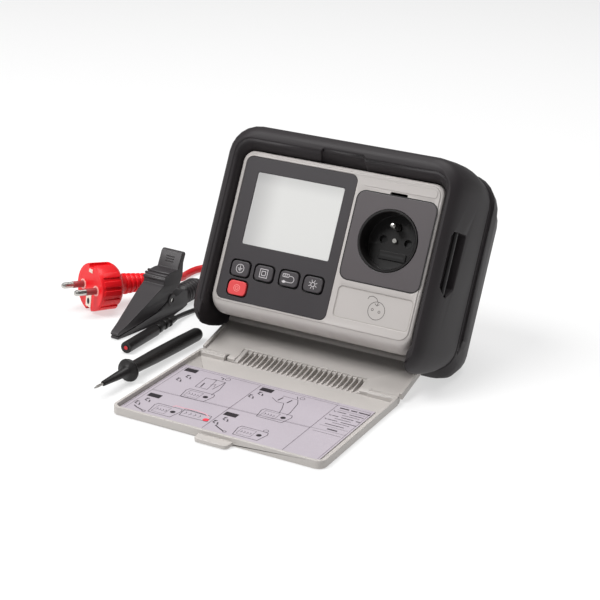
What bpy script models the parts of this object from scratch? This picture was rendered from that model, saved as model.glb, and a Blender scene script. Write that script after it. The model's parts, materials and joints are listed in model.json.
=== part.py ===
"""Portable insulation resistance tester with a flip-down lid, mains plug lead,
test lead, crocodile clip and probe.  Metres, +Z up.  The instrument leans back
on a flat under its rubber boot; the origin is on that flat, X runs across the
face, the face looks towards -Y."""
import math
import bpy
import bmesh
from mathutils import Matrix, Vector

# ------------------------------------------------------------------ dimensions
MM = 0.001
FACE_TILT = math.radians(24.71)      # the face leans back by this much
FACE_ORIGIN = (0.0, -32.66, 87.97)   # middle of the face, mm
BEZEL_HALF_W = 79.2
BEZEL_TOP, BEZEL_BOTTOM = 60.4, -60.0
CASE_BOTTOM = -56.0
CASE_BACK = -78.0
WALL = 2.5
BOOT_SPLIT = -47.0                   # joint line of the two boot mouldings
GAP = 0.3                            # clearance between touching pieces
KEY_W, KEY_H, KEY_TRAVEL = 14.6, 11.0, 0.9
KEYS = (("key_earth", -60.5, -25.8, 11.0), ("key_insulation", -41.2, -25.7, 11.0),
        ("key_lead", -20.9, -25.7, 11.0), ("key_lamp", -1.6, -25.9, 11.0),
        ("key_power", -59.6, -40.0, 10.5))
SOCKET_X, SOCKET_V = 46.1, 14.9
STAND_AXIS = (0.0, -20.4, 14.1)      # link turns on the boot legs here
STAND_SLOPE = math.radians(13.7)
LID_AXIS = (0.0, -65.5, 3.1)         # lid turns on the link here
LID_HALF_W, LID_FRONT, LID_BACK = 79.4, -183.1, -66.6
LID_RIM, LID_FLOOR = 6.0, 2.2
RED_R, BLACK_R = 3.0, 1.9            # cord radii
RED_COIL = (8.0, 115.0, 32.0)        # centre x, y and mean radius
BLACK_COIL = (-61.5, 100.0, 21.5)

for old in list(bpy.data.objects):
    bpy.data.objects.remove(old, do_unlink=True)

PARTS = bpy.data.collections.new("insulation_tester")
CUTTERS = bpy.data.collections.new("cutters")
for c in (PARTS, CUTTERS):
    bpy.context.scene.collection.children.link(c)


def material(name, rgb, rough, metal=0.0):
    m = bpy.data.materials.new(name)
    m.use_nodes = True
    b = m.node_tree.nodes["Principled BSDF"]
    b.inputs["Base Color"].default_value = (*rgb, 1.0)
    b.inputs["Roughness"].default_value = rough
    b.inputs["Metallic"].default_value = metal
    return m


LOOKS = {
    "boot": ((0.040, 0.037, 0.038), 0.75, 0.0),
    "case": ((0.070, 0.065, 0.067), 0.55, 0.0),
    "bezel": ((0.56, 0.54, 0.51), 0.42, 0.0),
    "panel": ((0.060, 0.055, 0.058), 0.40, 0.0),
    "window": ((0.62, 0.62, 0.62), 0.12, 0.0),
    "board": ((0.02, 0.16, 0.06), 0.50, 0.0),
    "socket": ((0.10, 0.095, 0.10), 0.35, 0.0),
    "black": ((0.025, 0.024, 0.025), 0.40, 0.0),
    "key": ((0.10, 0.095, 0.10), 0.45, 0.0),
    "red": ((0.72, 0.03, 0.03), 0.30, 0.0),
    "steel": ((0.60, 0.60, 0.60), 0.30, 1.0),
    "brass": ((0.78, 0.60, 0.28), 0.30, 1.0),
    "label": ((0.64, 0.60, 0.64), 0.45, 0.0),
    "cell": ((0.75, 0.42, 0.08), 0.35, 0.3),
}


def empty(name, location_mm, rot=(0, 0, 0)):
    e = bpy.data.objects.new(name, None)
    PARTS.objects.link(e)
    e.location = Vector(location_mm) * MM
    e.rotation_euler = rot
    return e


FACE = empty("face_frame", FACE_ORIGIN, (-FACE_TILT, 0, 0))
STAND = empty("stand_frame", STAND_AXIS, (STAND_SLOPE, 0, 0))
# In the face frame local x is across, local z is up the face (v) and local -y
# points out of the face (n).


def place(obj, look=None, parent=None, cutter=False):
    for c in obj.users_collection:
        c.objects.unlink(obj)
    (CUTTERS if cutter else PARTS).objects.link(obj)
    if cutter:
        obj.hide_render = True
        obj.display_type = "WIRE"
    else:
        obj.data.materials.clear()
        obj.data.materials.append(material(obj.name, *LOOKS[look]))
    obj.parent = parent
    return obj


def from_bmesh(name, bm, look, parent, origin, smooth, cutter):
    """Scale to metres and put the object's origin at the given point."""
    o = Vector(origin)
    bmesh.ops.recalc_face_normals(bm, faces=bm.faces)
    if bm.calc_volume(signed=True) < 0:
        bmesh.ops.reverse_faces(bm, faces=bm.faces)
    for v in bm.verts:
        v.co = (v.co - o) * MM
    me = bpy.data.meshes.new(name)
    bm.to_mesh(me)
    bm.free()
    if smooth:
        me.shade_smooth()
        me.set_sharp_from_angle(angle=math.radians(35))
    ob = bpy.data.objects.new(name, me)
    place(ob, look, parent, cutter)
    ob.location = o * MM
    return ob


def box(name, lo, hi, look=None, parent=None, origin=None, cutter=False):
    bm = bmesh.new()
    bmesh.ops.create_cube(bm, size=1.0)
    lo, hi = Vector(lo), Vector(hi)
    for v in bm.verts:
        v.co = Vector([(lo[i] + hi[i]) / 2 + v.co[i] * (hi[i] - lo[i]) for i in range(3)])
    return from_bmesh(name, bm, look, parent, origin or (lo + hi) / 2, False, cutter)


def rod(name, start, end, r, look=None, parent=None, r2=None, segs=20, origin=None,
        cutter=False):
    """Round bar from start to end, r2 being the radius at the end."""
    a, b = Vector(start), Vector(end)
    bm = bmesh.new()
    bmesh.ops.create_cone(bm, cap_ends=True, segments=segs, radius1=r,
                          radius2=r if r2 is None else r2, depth=(b - a).length)
    q = Vector((0, 0, 1)).rotation_difference((b - a).normalized())
    bm.transform(Matrix.Translation((a + b) / 2) @ q.to_matrix().to_4x4())
    return from_bmesh(name, bm, look, parent, origin or (a + b) / 2, True, cutter)


def rounded(x0, x1, y0, y1, r_low, r_high=None, k=5):
    """Counter-clockwise outline of a rectangle with rounded corners."""
    r_high = r_low if r_high is None else r_high
    pts = []
    for cx, cy, r, a0 in ((x1 - r_high, y1 - r_high, r_high, 0), (x0 + r_high, y1 - r_high, r_high, 90),
                          (x0 + r_low, y0 + r_low, r_low, 180), (x1 - r_low, y0 + r_low, r_low, 270)):
        for i in range(k + 1):
            a = math.radians(a0 + 90 * i / k)
            pts.append((cx + r * math.cos(a), cy + r * math.sin(a)))
    return pts


def plate(name, outlines, low, high, look=None, parent=None, facing="n", origin=None,
          cutter=False, smooth=False):
    """Flat outline (first loop) with holes (others) given a thickness.
    facing n: loops are (x, v), thickness low..high along n.
    facing z: loops are (x, y), thickness along z.
    facing x: loops are (y, z), thickness along x."""
    cu = bpy.data.curves.new(name, "CURVE")
    cu.dimensions = "2D"
    cu.fill_mode = "BOTH"
    cu.extrude = (high - low) / 2 * MM
    for loop in outlines:
        sp = cu.splines.new("POLY")
        sp.points.add(len(loop) - 1)
        for p, (x, y) in zip(sp.points, loop):
            p.co = (x * MM, y * MM, 0, 1)
        sp.use_cyclic_u = True
    tmp = bpy.data.objects.new(name + "_outline", cu)
    PARTS.objects.link(tmp)
    dg = bpy.context.evaluated_depsgraph_get()
    me = bpy.data.meshes.new_from_object(tmp.evaluated_get(dg))
    bpy.data.objects.remove(tmp, do_unlink=True)
    bm = bmesh.new()
    bm.from_mesh(me)
    bmesh.ops.remove_doubles(bm, verts=bm.verts, dist=0.00001)
    bm.transform(Matrix.Scale(1 / MM, 4))
    mid = (low + high) / 2
    if facing == "n":
        bm.transform(Matrix.Translation((0, -mid, 0)) @ Matrix.Rotation(math.radians(90), 4, "X"))
    elif facing == "z":
        bm.transform(Matrix.Translation((0, 0, mid)))
    else:
        bm.transform(Matrix(((0, 0, 1, mid), (1, 0, 0, 0), (0, 1, 0, 0), (0, 0, 0, 1))))
    if origin is None:
        cs = [v.co for v in bm.verts]
        origin = sum(cs, Vector()) / len(cs)
    return from_bmesh(name, bm, look, parent, origin, smooth, cutter)


def loft(name, stations, look=None, parent=None, origin=(0, 0, 0), cutter=False, smooth=True):
    """Skin between outlines of unlike size.  Each station is (n, outline)."""
    bm = bmesh.new()
    rings = [[bm.verts.new((x, -n, v)) for x, v in loop] for n, loop in stations]
    for a, b in zip(rings, rings[1:]):
        for i in range(len(a)):
            j = (i + 1) % len(a)
            bm.faces.new((a[i], a[j], b[j], b[i]))
    bm.faces.new(rings[0])
    bm.faces.new(list(reversed(rings[-1])))
    return from_bmesh(name, bm, look, parent, origin, smooth, cutter)


def turned(name, profile, start, direction, look=None, parent=None, steps=20, cutter=False):
    """Revolve (radius, distance) pairs about the line from start along direction."""
    if profile[0][1] < profile[-1][1]:
        profile = profile[::-1]      # the outer side runs from the top down
    me = bpy.data.meshes.new(name)
    me.from_pydata([(r * MM, 0, s * MM) for r, s in profile],
                   [(i, i + 1) for i in range(len(profile) - 1)], [])
    ob = bpy.data.objects.new(name, me)
    place(ob, look, parent, cutter)
    md = ob.modifiers.new("turn", "SCREW")
    md.axis = "Z"
    md.steps = md.render_steps = steps
    md.use_merge_vertices = True
    md.merge_threshold = 0.00001
    md.use_smooth_shade = True
    ob.location = Vector(start) * MM
    ob.rotation_mode = "QUATERNION"
    ob.rotation_quaternion = Vector((0, 0, 1)).rotation_difference(Vector(direction).normalized())
    return ob


def combine(obj, tool, op="DIFFERENCE"):
    md = obj.modifiers.new(tool.name, "BOOLEAN")
    md.operation = op
    md.solver = "EXACT"
    md.object = tool
    return obj


N_OUT = (0, -1, 0)                   # out of the face, in the face frame

# ------------------------------------------------------------------ rubber boot


def outline(hw, top, bottom, r_low, r_top=None):
    return rounded(-hw, hw, bottom, top, r_low, r_top, k=6)


boot_front = loft("boot_front", [
    (7.0, outline(85.5, 72.0, -69.6, 14, 18)), (5.6, outline(87.8, 75.6, -70.6, 16, 20)),
    (2.5, outline(90.0, 77.6, -71.8, 17, 21)), (-2.0, outline(91.8, 78.7, -72.5, 18, 22)),
    (-12.0, outline(94.0, 79.3, -72.0, 18, 22)), (-28.0, outline(96.0, 79.6, -70.2, 18, 22)),
    (-38.0, outline(96.8, 78.4, -68.0, 18, 22)), (BOOT_SPLIT + GAP, outline(97.2, 76.8, -65.4, 18, 22))],
    "boot", FACE)
combine(boot_front, loft("cut_boot_mouth", [
    (9.0, outline(84.0, 69.0, -60.4, 10, 12)), (6.4, outline(83.2, 67.5, -60.4, 9.5, 11)),
    (3.0, outline(81.7, 64.9, -60.4, 9.5, 10)), (-3.0, outline(80.0, 61.2, -60.4, 9.5, 9.8)),
    (-9.0, outline(79.7, 60.9, -60.4, 9.5, 9.5)), (-60.0, outline(79.7, 60.9, -60.4, 9.5, 9.5))],
    None, FACE, cutter=True))
combine(boot_front, box("cut_link_bay", (-81, -12, -85), (81, 60, -48), parent=FACE, cutter=True))
tab_notch = plate("cut_tab_notch", [[(-12, 60), (-12, 72.6), (-6.4, 69.4), (-3, 67.0), (3, 64.2), (6, 60)]], -13.2, 17, None,
                  FACE, facing="x", origin=(0, 0, 0), cutter=True)
for corner in tab_notch.data.vertices:
    if corner.co.x < 0:              # this end of the recess runs out at a slant
        corner.co.x -= 0.55 * (0.0726 - corner.co.z)
combine(boot_front, tab_notch)
combine(boot_front, rod("cut_pin_seat", (-84.3, STAND_AXIS[1], STAND_AXIS[2]),
                        (84.3, STAND_AXIS[1], STAND_AXIS[2]), 2.2, cutter=True))
for side, s in (("left", -1), ("right", 1)):
    combine(boot_front, plate("cut_strap_" + side, [[(0.5, -9), (8.5, -15), (17.8, -8), (18.5, 30.5), (2.5, 30.5), (0.5, 27)]],
                              min(s * 86.5, s * 110), max(s * 86.5, s * 110), None, FACE, facing="x", cutter=True))
    combine(boot_front, rod("cut_strap_bar_" + side, (s * 90.4, 9.5, -18.3), (s * 90.4, 9.5, 34.3), 1.9,
                            parent=FACE, cutter=True))
    rod("strap_bar_" + side, (s * 90.4, 9.5, -18), (s * 90.4, 9.5, 34), 1.6, "steel", FACE, segs=12)

boot_rear = loft("boot_rear", [
    (BOOT_SPLIT - GAP, outline(97.2, 76.6, -65.8, 18, 22)), (-55.0, outline(97.7, 74.0, -70.5, 18, 22)),
    (-62.0, outline(97.8, 71.4, -71.5, 18, 22)), (-74.0, outline(96.6, 66.5, -68.0, 18, 21)),
    (-82.0, outline(93.5, 61.0, -62.5, 17, 19)), (-85.7, outline(89.0, 55.5, -56.0, 16, 17))],
    "boot", FACE)
combine(boot_rear, loft("add_bumper", [            # raised band round the boot behind the joint line
    (-49.6, outline(98.4, 76.9, -58, 18, 22)), (-50.6, outline(99.2, 77.7, -58.8, 18, 22)),
    (-60.0, outline(99.4, 74.4, -58.8, 18, 22)), (-61.2, outline(98.6, 73.2, -58, 18, 22))], None, FACE, cutter=True),
        "UNION")
combine(boot_rear, loft("cut_boot_bed", [
    (-40.0, outline(79.7, 60.9, -56.4, 9.5, 9.5)), (CASE_BACK - 0.4, outline(79.7, 60.9, -56.4, 9.5, 9.5))],
    None, FACE, cutter=True))
combine(boot_rear, plate("cut_boot_window", [rounded(-70, 70, -46, 52, 8)], -95, -70, None, FACE, cutter=True))
combine(boot_rear, box("cut_floor", (-150, -150, -60), (150, 150, 0), cutter=True))

# ------------------------------------------------------------------ hard case
rear_case = loft("rear_case", [
    (-14.3, outline(79.2, 60.4, CASE_BOTTOM, 9)), (-74.0, outline(79.2, 60.4, CASE_BOTTOM, 9)),
    (CASE_BACK, outline(76.2, 57.4, CASE_BOTTOM + 3, 7))], "case", FACE)
combine(rear_case, loft("cut_case_inside", [
    (-10.0, outline(76.7, 57.9, CASE_BOTTOM + WALL, 7)), (-72.5, outline(76.7, 57.9, CASE_BOTTOM + WALL, 7)),
    (CASE_BACK + WALL, outline(74.2, 55.4, CASE_BOTTOM + 5, 5))], None, FACE, cutter=True))
combine(rear_case, box("cut_battery_way", (-52.5, 70, 0.5), (52.5, 85, 44.5), parent=FACE, cutter=True))
combine(rear_case, rod("cut_gland_hole", (40, 70, -22), (40, 90, -22), 5.4, parent=FACE, cutter=True))
combine(rear_case, rod("cut_socket_hole", (-40, 70, -22), (-40, 90, -22), 5.4, parent=FACE, cutter=True))

battery_tray = box("battery_tray", (-55, 57.0, -1.2), (55, 75.2, 46.2), "black", FACE)
combine(battery_tray, box("cut_battery_tray", (-52.5, 58.5, 0.5), (52.5, 80, 44.5), parent=FACE, cutter=True))
for row in range(3):
    for col in range(2):
        x = -25.7 if col == 0 else 25.7
        v = 8.0 + 14.5 * row
        rod("battery_cell_%d" % (2 * row + col + 1), (x - 25, 66.5, v), (x + 25, 66.5, v), 7.1,
            "cell", FACE, segs=16)
plate("battery_cover", [rounded(-57, 57, -3, 48, 4, k=3), rounded(-2.6, 2.6, -0.6, 4.6, 2.55, k=3)], -80.3, -78.3,
      "case", FACE)
rod("battery_cover_screw", (0, 78.6, 2), (0, 80.9, 2), 2.2, "steel", FACE, segs=16)

# ------------------------------------------------------------------ face
front_bezel = loft("front_bezel", [
    (0.0, outline(76.4, 57.8, -50.6, 7, 6.5)), (-0.7, outline(76.9, 58.3, -51.2, 7.5, 7)),
    (-0.7, outline(77.9, 59.3, -53.0, 8, 7.8)), (-1.6, outline(78.9, 60.1, -55.0, 8.8, 8.3)),
    (-4.0, outline(BEZEL_HALF_W, BEZEL_TOP, -57.6, 9, 8.5)), (-8.0, outline(BEZEL_HALF_W, BEZEL_TOP, -59.5, 9, 8.5)),
    (-12.0, outline(BEZEL_HALF_W, BEZEL_TOP, BEZEL_BOTTOM, 9, 8.5)),
    (-14.0, outline(BEZEL_HALF_W, BEZEL_TOP, BEZEL_BOTTOM, 9, 8.5))], "bezel", FACE)
combine(front_bezel, plate("cut_bezel_inside", [rounded(-76.5, 76.5, -52.5, 57.6, 5)], -20, -2.8, None, FACE,
                           cutter=True))
combine(front_bezel, plate("cut_panel_bed", [rounded(-75.7, 13.6, -49.5, 56.4, 5.2)], -1.0 - GAP - 1.0, 3, None,
                           FACE, cutter=True))
combine(front_bezel, plate("cut_panel_way", [rounded(-73.5, 11.4, -47.3, 54.2, 3)], -5, 3, None, FACE, cutter=True))
combine(front_bezel, plate("cut_socket_bed", [rounded(15.9, 77.0, -17.3, 46.8, 6.4)], -1.9, 3, None, FACE,
                           cutter=True))
combine(front_bezel, plate("cut_socket_way", [rounded(18.2, 75.0, -15.2, 44.6, 4)], -5, 3, None, FACE, cutter=True))
combine(front_bezel, plate("cut_latch", [rounded(40, 53, 45.5, 49.0, 0.8, k=2)], -5, 3, None, FACE, cutter=True))
combine(front_bezel, plate("cut_label_bed", [rounded(18.0, 75.6, -44.5, -22.0, 3)], -0.6, 3, None, FACE, cutter=True))

plate("keypad_panel", [rounded(-75.4, 13.3, -49.2, 56.1, 5), rounded(-64.5, 5.5, -7.9, 45.7, 1.5, k=3)]
      + [rounded(x - 8.4, x + 8.4, v - h / 2 - 1.1, v + h / 2 + 1.1, 3.4, k=3) for _, x, v, h in KEYS],
      -2.0, -0.2, "panel", FACE)
plate("display_window", [rounded(-64.2, 5.2, -7.6, 45.4, 1.2, k=3)], -1.7, -0.6, "window", FACE)
box("display_module", (-67, 2.3, -11), (8, 6.8, 49), "black", FACE)
plate("key_guide", [rounded(-73, 11, -47, -17, 2, k=2)]
      + [rounded(x - KEY_W / 2 - GAP, x + KEY_W / 2 + GAP, v - h / 2 - GAP, v + h / 2 + GAP, 3.2, k=3)
         for _, x, v, h in KEYS], -4.6, -2.3, "black", FACE)
box("keypad_board", (-73, 5.3, -47), (11, 6.9, -17), "board", FACE)
for name, x, v, h in KEYS:
    plate(name, [rounded(x - KEY_W / 2, x + KEY_W / 2, v - h / 2, v + h / 2, 3, k=3)], -4.0, 0.5,
          "red" if name == "key_power" else "key", FACE, origin=(x, -0.5, v))

socket_plate = plate("socket_plate", [rounded(16.3, 76.7, -16.9, 46.4, 6),
                                      [(SOCKET_X + 22.4 * math.cos(2 * math.pi * i / 40),
                                        SOCKET_V + 22.4 * math.sin(2 * math.pi * i / 40)) for i in range(40)]],
                     -1.6, 0.2, "socket", FACE)
socket_cup = turned("socket_cup", [(0, -14.7), (20.3, -14.7), (20.3, 0.2), (20.9, 0.8), (22.05, 0.8), (22.05, -17), (0, -17)],
                    (SOCKET_X, 0, SOCKET_V), N_OUT, "socket", FACE, steps=40)
for name, dx, dv, r in (("live", -9.5, 1.8, 2.75), ("neutral", 9.5, 1.8, 2.75), ("earth", 0, 11.6, 2.7)):
    combine(socket_cup, rod("cut_" + name + "_hole", (SOCKET_X + dx, 10, SOCKET_V + dv),
                            (SOCKET_X + dx, 25, SOCKET_V + dv), r, parent=FACE, segs=20, cutter=True))
    if name != "earth":
        box(name + "_contact", (SOCKET_X + dx - 3.6, 17.3, SOCKET_V + dv - 3.6),
            (SOCKET_X + dx + 3.6, 26, SOCKET_V + dv + 3.6), "brass", FACE)
turned("earth_pin", [(0, -1.5), (1.3, -1.8), (2.1, -2.8), (2.4, -4.2), (2.4, -24), (0, -24)],
       (SOCKET_X, 0, SOCKET_V + 11.6), N_OUT, "brass", FACE, steps=20)
rod("socket_screw", (SOCKET_X - 0.3, 14.4, SOCKET_V + 2.0), (SOCKET_X - 0.3, 12.6, SOCKET_V + 2.0), 2.0, "steel", FACE,
    r2=1.6, segs=16)

# ------------------------------------------------------------------ inside
box("main_board", (-70, 48.4, -49), (70, 50.0, 52), "board", FACE)
box("transformer", (-60, 24.0, -48), (-16, 48.1, -12), "steel", FACE)
box("test_relay", (-4, 33.0, -46), (24, 48.1, -26), "black", FACE)

# ------------------------------------------------------------------ stand link
link = rod("stand_link", (-79.7, 0, 0), (79.7, 0, 0), 3.9, "bezel", STAND, origin=(0, 0, 0), segs=20)
combine(link, box("add_link_plate", (-79.7, -42.3, -2.2), (79.7, -0.4, 0.6), parent=STAND, cutter=True), "UNION")
for side, s in (("left", -1), ("right", 1)):
    combine(link, box("add_flange_" + side, (min(s * 77.2, s * 79.7), -42.3, -2.2),
                      (max(s * 77.2, s * 79.7), -11, 2.8), parent=STAND, cutter=True), "UNION")
# vent comb: the plate is notched, and a block of slots open at the top fills the notch
combine(link, box("cut_comb_notch_link", (-50.5, -80, -5), (49.5, -51.5, 20), cutter=True))
comb_top, comb_low, slot_floor = 6.4, 0.6, 1.6
comb = [(-51.5, comb_low), (50.5, comb_low), (50.5, comb_top)]
for i in range(24):
    x = 46.3 - 4.0 * i
    comb += [(x + 1.45, comb_top), (x + 1.45, slot_floor), (x - 1.45, slot_floor), (x - 1.45, comb_top)]
comb += [(-51.5, comb_top)]
comb_block = plate("add_comb", [comb], 50.5, 67.5, cutter=True)
combine(comb_block, plate("cut_comb_slope", [[(-40, 7.2), (-50, 7.2), (-52.5, 6.2), (-60, 4.6), (-66.2, 3.5), (-70, 0.9), (-70, 12),
                                              (-40, 12)]], -52, 51, facing="x", cutter=True))
combine(link, comb_block, "UNION")
combine(link, box("add_comb_wall", (-51.2, -52.3, 0.9), (50.2, -50.9, 5.4), cutter=True), "UNION")
for side, lo, hi in (("left", -56.4, -50.2), ("right", 49.2, 56.4)):
    combine(link, plate("add_comb_end_" + side, [[(-55.3, 0.8), (-55.3, 5.8), (-61, 4.95), (-66.4, 4.75), (-67.3, 4.0), (-67.3, 0.8)]],
                        lo, hi, facing="x", cutter=True), "UNION")
combine(link, rod("cut_link_bore", (-90, 0, 0), (90, 0, 0), 2.2, parent=STAND, segs=16, cutter=True))
for side, s in (("left", -1), ("right", 1)):
    combine(link, rod("cut_comb_bore_" + side, (s * 51.0, LID_AXIS[1], LID_AXIS[2]),
                      (s * 60, LID_AXIS[1], LID_AXIS[2]), 1.25, segs=12, cutter=True))
    rod("lid_pin_" + side, (s * 51.2, LID_AXIS[1], LID_AXIS[2]), (s * 74, LID_AXIS[1], LID_AXIS[2]), 0.95,
        "steel", segs=10)
rod("stand_pin", (-84, STAND_AXIS[1], STAND_AXIS[2]), (84, STAND_AXIS[1], STAND_AXIS[2]), 1.85, "steel", segs=14)

# ------------------------------------------------------------------ lid


def lid_outline(grow=0.0, front_r=6.0):
    pts = []
    x, y0, y1 = LID_HALF_W - grow, LID_FRONT + grow, LID_BACK - grow
    for cx, cy, r, a0 in ((x - 2, y1 - 2, 2, 0), (-x + 2, y1 - 2, 2, 90),
                          (-x + front_r, y0 + front_r, front_r, 180), (x - front_r, y0 + front_r, front_r, 270)):
        for i in range(6):
            a = math.radians(a0 + 18 * i)
            pts.append((cx + r * math.cos(a), cy + r * math.sin(a)))
    return pts


lid = plate("lid", [lid_outline()], 0.1, LID_RIM, "bezel", facing="z", origin=LID_AXIS)
combine(lid, plate("cut_lid_tray", [lid_outline(2.2, 4.2)], LID_FLOOR, 12, facing="z", cutter=True))
combine(lid, plate("add_lid_tab", [rounded(-11, 14.5, -190.8, -181.5, 3.4, 0.5, k=4)], 0.4, 3.2, facing="z", cutter=True),
        "UNION")
combine(lid, box("cut_comb_notch", (-57.0, -68.4, -5), (57.0, -60, 12), cutter=True))
combine(lid, box("cut_comb_rim", (-57.0, -69.6, LID_FLOOR), (57.0, -60, 12), cutter=True))
for side, lo, hi in (("left", -79.0, -57.0), ("right", 57.0, 79.0)):
    combine(lid, rod("add_knuckle_" + side, (lo, LID_AXIS[1], LID_AXIS[2]), (hi, LID_AXIS[1], LID_AXIS[2]), 2.9,
                     segs=16, cutter=True), "UNION")
    combine(lid, box("add_knuckle_web_" + side, (lo, -70, 0.3), (hi, LID_AXIS[1], 5.2), cutter=True), "UNION")
for side, s in (("left", -1), ("right", 1)):
    combine(lid, rod("cut_lid_bore_" + side, (s * 50, LID_AXIS[1], LID_AXIS[2]), (s * 74.4, LID_AXIS[1], LID_AXIS[2]),
                     1.25, segs=12, cutter=True))
box("lid_label", (-76.6, -177.2, 2.5), (73.0, -91.0, 2.9), "label")

# ------------------------------------------------------------------ cord exits
turned("mains_gland", [(0, 74), (8.0, 74), (8.0, 75.2), (5.0, 75.2), (5.0, 78.3), (8.0, 78.3), (8.0, 81.2),
                       (5.6, 82.0), (4.4, 90), (3.8, 108), (0, 108)],
       (40, 0, -22), (0, 1, 0), "red", FACE, steps=16)
turned("lead_socket", [(0, 72), (5.0, 72), (5.0, 78.3), (6.6, 78.3), (6.6, 80.2), (0, 80.2)],
       (-40, 0, -22), (0, 1, 0), "black", FACE, steps=16)
turned("lead_plug", [(0, 80.5), (4.9, 80.5), (4.9, 99), (3.3, 103), (2.5, 113), (0, 113)],
       (-40, 0, -22), (0, 1, 0), "black", FACE, steps=16)


def face_point(x, n, v):
    """World position in mm of a point given in the face frame."""
    c, s = math.cos(FACE_TILT), math.sin(FACE_TILT)
    return Vector((x, FACE_ORIGIN[1] + v * s - n * c, FACE_ORIGIN[2] + v * c + n * s))


def smooth_route(points, step):
    """Evenly spaced points on a smooth curve through the given ones."""
    p = [Vector(q) for q in points]
    p = [2 * p[0] - p[1]] + p + [2 * p[-1] - p[-2]]
    fine = []
    for a, b, c, d in zip(p, p[1:], p[2:], p[3:]):
        t1 = max((b - a).length, 1e-6) ** 0.5
        t2 = max((c - b).length, 1e-6) ** 0.5
        t3 = max((d - c).length, 1e-6) ** 0.5
        m1 = ((b - a) / t1 - (c - a) / (t1 + t2) + (c - b) / t2) * t2
        m2 = ((c - b) / t2 - (d - b) / (t2 + t3) + (d - c) / t3) * t2
        for i in range(24):
            t = i / 24
            fine.append((2 * t ** 3 - 3 * t ** 2 + 1) * b + (t ** 3 - 2 * t ** 2 + t) * m1
                        + (-2 * t ** 3 + 3 * t ** 2) * c + (t ** 3 - t ** 2) * m2)
    fine.append(p[-2])
    run = [0.0]
    for a, b in zip(fine, fine[1:]):
        run.append(run[-1] + (b - a).length)
    count = max(3, int(round(run[-1] / step)))
    out, j = [], 0
    for i in range(count + 1):
        want = run[-1] * i / count
        while j < len(run) - 2 and run[j + 1] < want:
            j += 1
        f = (want - run[j]) / max(run[j + 1] - run[j], 1e-9)
        out.append(fine[j].lerp(fine[j + 1], min(1.0, f)))
    return out


def tube(name, route, r, look, step):
    cu = bpy.data.curves.new(name, "CURVE")
    cu.dimensions = "3D"
    cu.bevel_depth = r * MM
    cu.bevel_resolution = 2
    cu.use_fill_caps = True
    pts = smooth_route(route, step)
    sp = cu.splines.new("POLY")
    sp.points.add(len(pts) - 1)
    for q, w in zip(sp.points, pts):
        q.co = (*(w * MM), 1.0)
    ob = bpy.data.objects.new(name, cu)
    return place(ob, look)


def coil(name, centre, r, columns, rows, look):
    """Outer shape of a hank of turns, lying flat: a turned ring."""
    cx, cy, rm = centre
    half = columns * r
    low, high = 0.3, 0.3 + 2 * r * rows
    prof = [(rm - half + 0.8, low), (rm - half, low + 0.8), (rm - half, high - 0.8), (rm - half + 0.8, high),
            (rm + half - 0.8, high), (rm + half, high - 0.8), (rm + half, low + 0.8), (rm + half - 0.8, low),
            (rm - half + 0.8, low)]
    me = bpy.data.meshes.new(name)
    me.from_pydata([(a * MM, 0, b * MM) for a, b in prof[:-1]],
                   [(i, (i + 1) % 8) for i in range(8)], [])
    ob = bpy.data.objects.new(name, me)
    place(ob, look)
    md = ob.modifiers.new("turn", "SCREW")
    md.steps = md.render_steps = 36
    md.use_merge_vertices = True
    md.merge_threshold = 0.00001
    md.use_smooth_shade = True
    ob.location = (cx * MM, cy * MM, 0)
    return ob


# ------------------------------------------------------------------ mains lead
PLUG_FACE = Vector((-195.25, -37.75, 19.95))
PLUG_AXIS = Vector((-0.4207, -0.9021, 0.0958)).normalized()   # the way the pins point
coil("mains_coil", RED_COIL, RED_R, 2, 2, "red")
gx = face_point(40, -108.3, -22)
gd = face_point(40, -109.3, -22) - gx
tube("mains_cord_near", [gx, gx + gd * 9, (40, 76, 10.6), (40, 88.4, 6.2)], RED_R, "red", 7)
tube("mains_cord_far", [(-18.6, 147, 3.5), (-45, 148, 3.3), (-80, 143, 3.3), (-112, 131, 3.3),
                        (-140, 114, 3.3), (-161, 96, 3.3), (-170.5, 82, 3.3), (-172.5, 66, 3.4),
                        (-169.5, 48, 4.4), PLUG_FACE - PLUG_AXIS * 72, PLUG_FACE - PLUG_AXIS * 58.5], RED_R, "red", 9)
plug_body = turned("plug_body", [(0, 58), (4.4, 58), (5.4, 51), (6.3, 44), (7.0, 34), (7.8, 27.5), (9.4, 24.6),
                                 (13.0, 22.2), (16.8, 19.8), (18.4, 17), (18.8, 4), (18.8, 0.8), (18.3, 0), (0, 0)],
                   PLUG_FACE, -PLUG_AXIS, "red", steps=32)
PLUG_SIDE = PLUG_AXIS.cross(Vector((0, 0, 1))).normalized()
PLUG_UP = PLUG_SIDE.cross(PLUG_AXIS).normalized()
for name, s in (("left", -1), ("right", 1)):
    a = PLUG_FACE + PLUG_SIDE * 9.5 * s + PLUG_AXIS * 0.3
    turned("plug_pin_" + name, [(0, 19), (1.6, 18.5), (2.4, 16.8), (2.4, 0), (0, 0)], a, PLUG_AXIS, "steel", steps=14)
for name, s in (("top", 1), ("bottom", -1)):
    a = PLUG_FACE + PLUG_UP * 17.6 * s
    combine(plug_body, rod("cut_earth_" + name, a + PLUG_AXIS * 3, a - PLUG_AXIS * 16, 3.4, segs=12, cutter=True))

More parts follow.
